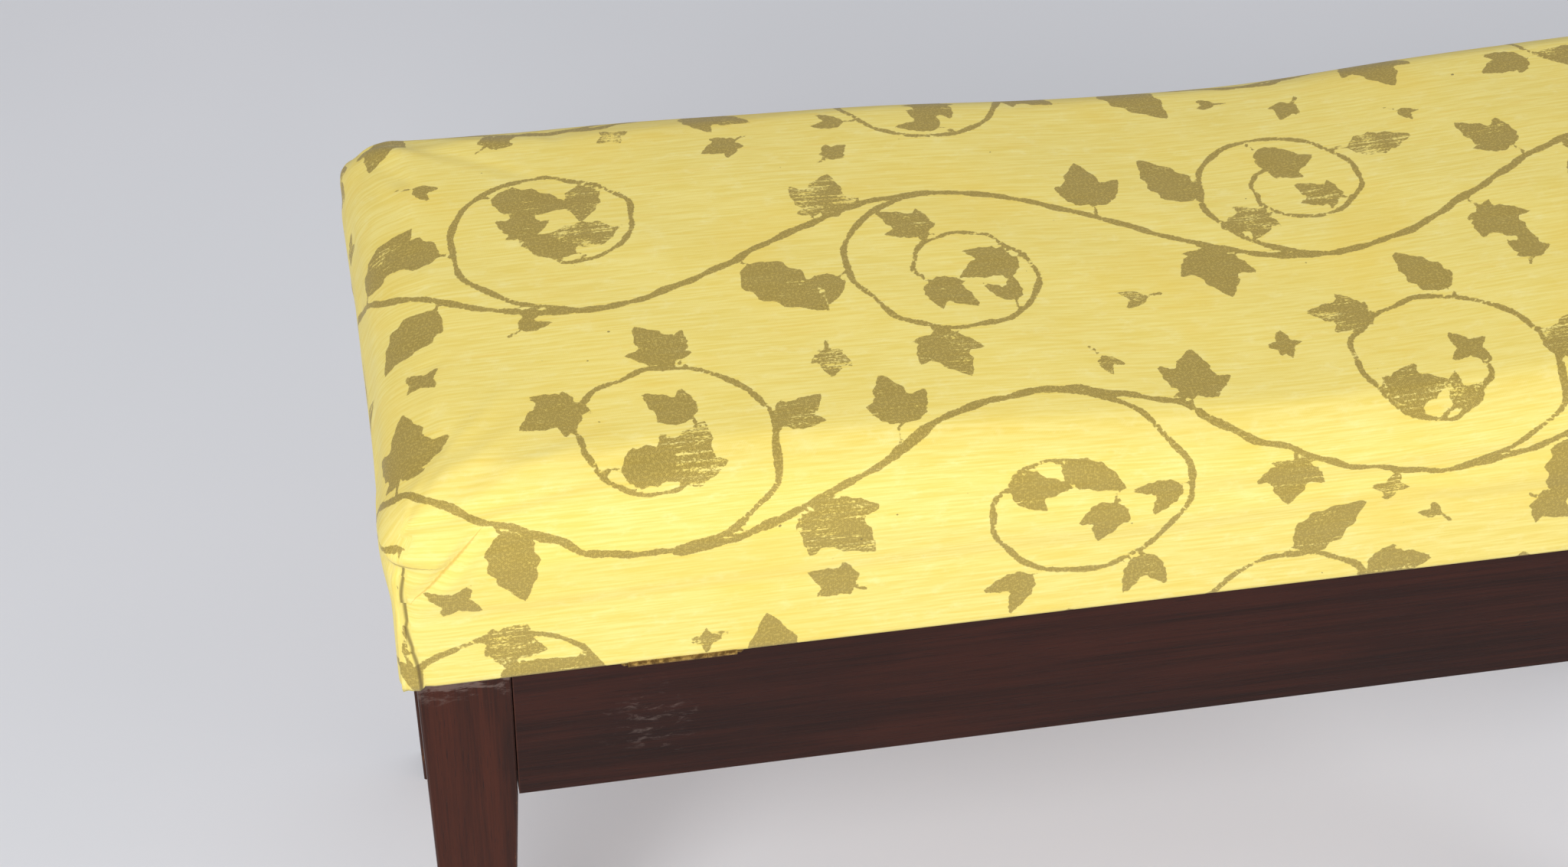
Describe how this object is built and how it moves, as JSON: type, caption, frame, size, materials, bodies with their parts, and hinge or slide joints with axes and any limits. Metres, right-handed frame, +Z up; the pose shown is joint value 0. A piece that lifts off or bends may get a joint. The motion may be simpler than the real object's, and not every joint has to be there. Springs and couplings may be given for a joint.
{
  "type": "piano stool",
  "caption": "Long piano stool on tapered square legs, with deep aprons and a padded, fabric-covered lid that lifts on rear butt hinges over a shallow music compartment.",
  "frame": {"origin": "on the floor under the middle of the stool", "axes": "+X along the stool, -Y towards the hinge side that the picture shows, +Z up"},
  "size_m": [0.886, 0.37, 0.5276],
  "materials": {
    "mahogany": "satin",
    "beech": "raw",
    "plywood": "raw",
    "brass": "aged",
    "nail_steel": "blued",
    "printed_cotton": "slub weave, printed",
    "stuffing": "matte",
    "jute": "coarse weave",
    "lining_cotton": "plain weave"
  },
  "bodies": {
    "case": {"leg_rear_left": "mahogany", "leg_rear_right": "mahogany", "leg_front_left": "mahogany", "leg_front_right": "mahogany", "apron_rear": "mahogany", "apron_front": "mahogany", "apron_left": "mahogany", "apron_right": "mahogany", "ledger_rear": "beech", "ledger_front": "beech", "ledger_left": "beech", "ledger_right": "beech", "bottom_panel": "plywood", "panel_brads": "nail_steel", "hinge_case_leaves": "brass", "hinge_pins": "brass", "hinge_case_screws": "brass", "stay_stud": "brass"},
    "lid": {"lid_rail_rear": "beech", "lid_rail_front": "beech", "lid_rail_left": "beech", "lid_rail_right": "beech", "webbing_cross": "jute", "webbing_long": "jute", "hessian": "jute", "seat_pad": "stuffing", "seat_cover": "printed_cotton", "lid_lining": "lining_cotton", "lining_tacks": "nail_steel", "hinge_lid_leaves": "brass", "hinge_lid_screws": "brass", "stay_bracket": "brass", "stay_bracket_screws": "brass", "stay_rivet": "brass"},
    "stay": {"stay_arm": "brass"}
  },
  "joints": [
    {"name": "lid_hinge", "type": "hinge", "parent": "case", "child": "lid", "pos_m": [0, -0.177, 0.4067], "axis": [1, 0, 0], "range_deg": [0, 95]},
    {"name": "stay_pivot", "type": "hinge", "parent": "lid", "child": "stay", "pos_m": [-0.4025, -0.111, 0.3995], "axis": [1, 0, 0], "range_deg": [-118.75, 0]}
  ],
  "couplings": [
    {"joint": "stay_pivot", "follows": "lid_hinge", "ratio": -1.25}
  ]
}
